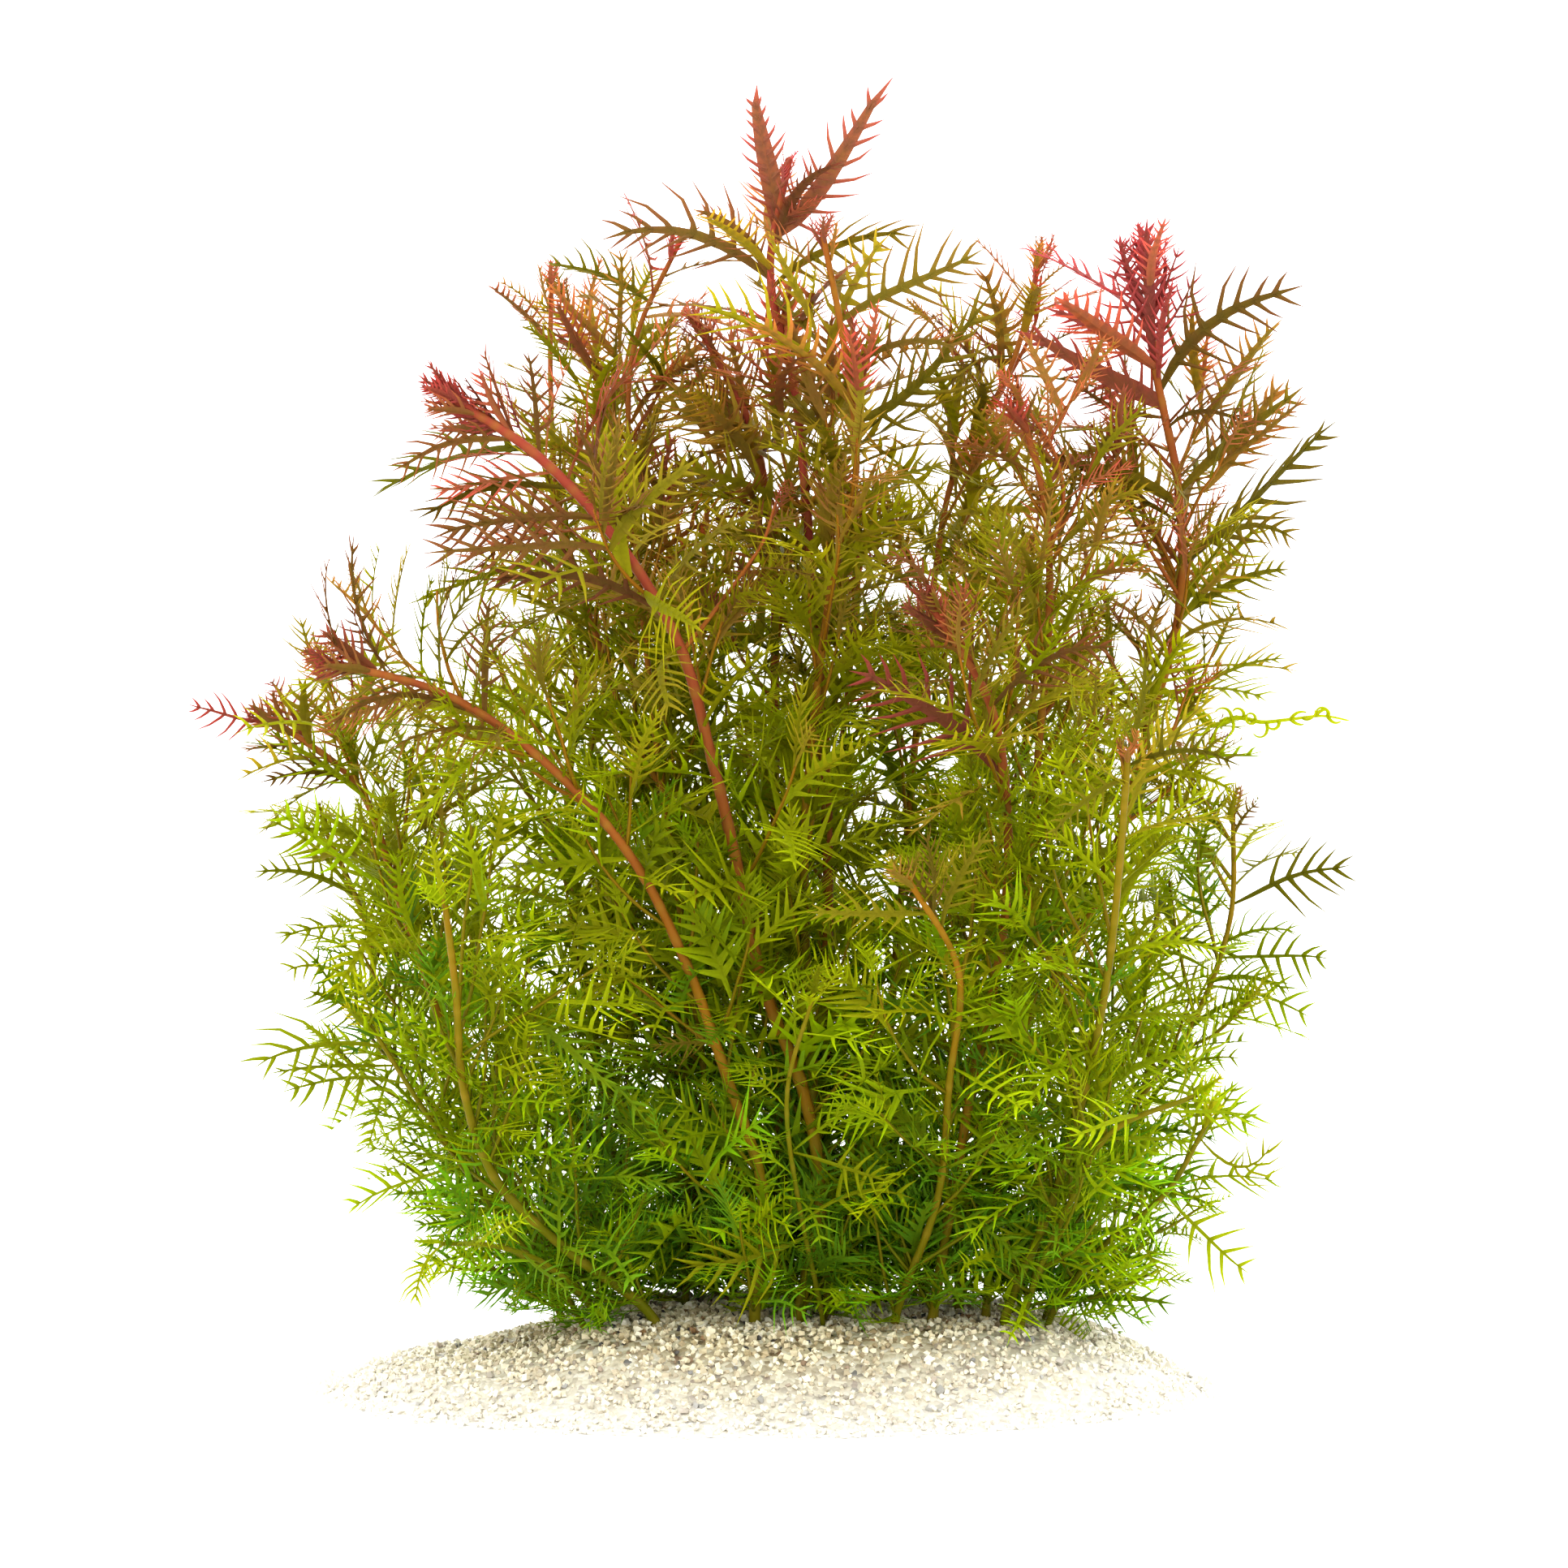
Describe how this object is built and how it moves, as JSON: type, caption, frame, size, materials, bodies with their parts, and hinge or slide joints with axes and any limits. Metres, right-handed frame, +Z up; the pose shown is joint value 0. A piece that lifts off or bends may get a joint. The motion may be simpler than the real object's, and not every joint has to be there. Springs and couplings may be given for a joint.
{
  "type": "mermaid weed aquarium plant",
  "caption": "Dense bush of upright mermaid weed shoots with feathery toothed leaves, green below and red at the tips, standing in its own heap of pale sand.",
  "frame": {"origin": "on the flat underside of the sand heap, below the middle of the bush", "axes": "+Z up along the stems, -Y towards the viewer of the picture, +X to the viewer's right"},
  "size_m": [0.23, 0.1745, 0.263],
  "materials": {
    "sand": "loose dry-looking quartz grains, cream with tan, grey and a few dark ones",
    "stem_red": "smooth fleshy stem, red to orange-brown, with a faint ring at each node",
    "stem_green": "smooth fleshy stem, olive to yellow-green, with a faint ring at each node",
    "leaf_brown": "thin feathery leaves, olive to brown-red, pink-red at the growing tips, lit through",
    "leaf_green": "thin feathery leaves, deep to yellow-green, lit through"
  },
  "bodies": {
    "root": {"leaves_01_tall_centre": "leaf_brown", "leaves_02_centre_gold": "leaf_brown", "leaves_03_left_arch_red": "leaf_brown", "leaves_04_left_arch_low": "leaf_brown", "leaves_05_left_outer": "leaf_brown", "leaves_06_left_mid": "leaf_green", "leaves_07_left_low": "leaf_green", "leaves_08_left_foot": "leaf_green", "leaves_09_left_front": "leaf_green", "leaves_10_left_shoulder": "leaf_brown", "leaves_11_left_back": "leaf_green", "leaves_12_centre_back": "leaf_green", "leaves_13_left_top": "leaf_brown", "leaves_14_left_top_back": "leaf_green", "leaves_15_centre_red": "leaf_brown", "leaves_16_right_top": "leaf_brown", "leaves_17_right_tall": "leaf_brown", "leaves_18_right_centre": "leaf_brown", "leaves_19_right_low_mid": "leaf_green", "leaves_20_right_mid_red": "leaf_brown", "leaves_21_right_forward": "leaf_green", "leaves_22_right_outer": "leaf_green", "leaves_23_right_low": "leaf_green", "leaves_24_right_foot": "leaf_green", "leaves_25_back_centre": "leaf_green", "leaves_26_back_right": "leaf_green", "leaves_27_back_left_low": "leaf_green", "leaves_28_back_right_low": "leaf_green", "leaves_29_front_thin": "leaf_green", "sand_heap": "sand", "stem_01_tall_centre": "stem_red", "stem_02_centre_gold": "stem_red", "stem_03_left_arch_red": "stem_red", "stem_04_left_arch_low": "stem_red", "stem_05_left_outer": "stem_red", "stem_06_left_mid": "stem_green", "stem_07_left_low": "stem_green", "stem_08_left_foot": "stem_green", "stem_09_left_front": "stem_green", "stem_10_left_shoulder": "stem_red", "stem_11_left_back": "stem_green", "stem_12_centre_back": "stem_green", "stem_13_left_top": "stem_red", "stem_14_left_top_back": "stem_green", "stem_15_centre_red": "stem_red", "stem_16_right_top": "stem_red", "stem_17_right_tall": "stem_red", "stem_18_right_centre": "stem_red", "stem_19_right_low_mid": "stem_green", "stem_20_right_mid_red": "stem_red", "stem_21_right_forward": "stem_green", "stem_22_right_outer": "stem_green", "stem_23_right_low": "stem_green", "stem_24_right_foot": "stem_green", "stem_25_back_centre": "stem_green", "stem_26_back_right": "stem_green", "stem_27_back_left_low": "stem_green", "stem_28_back_right_low": "stem_green", "stem_29_front_thin": "stem_green"}
  },
  "joints": []
}
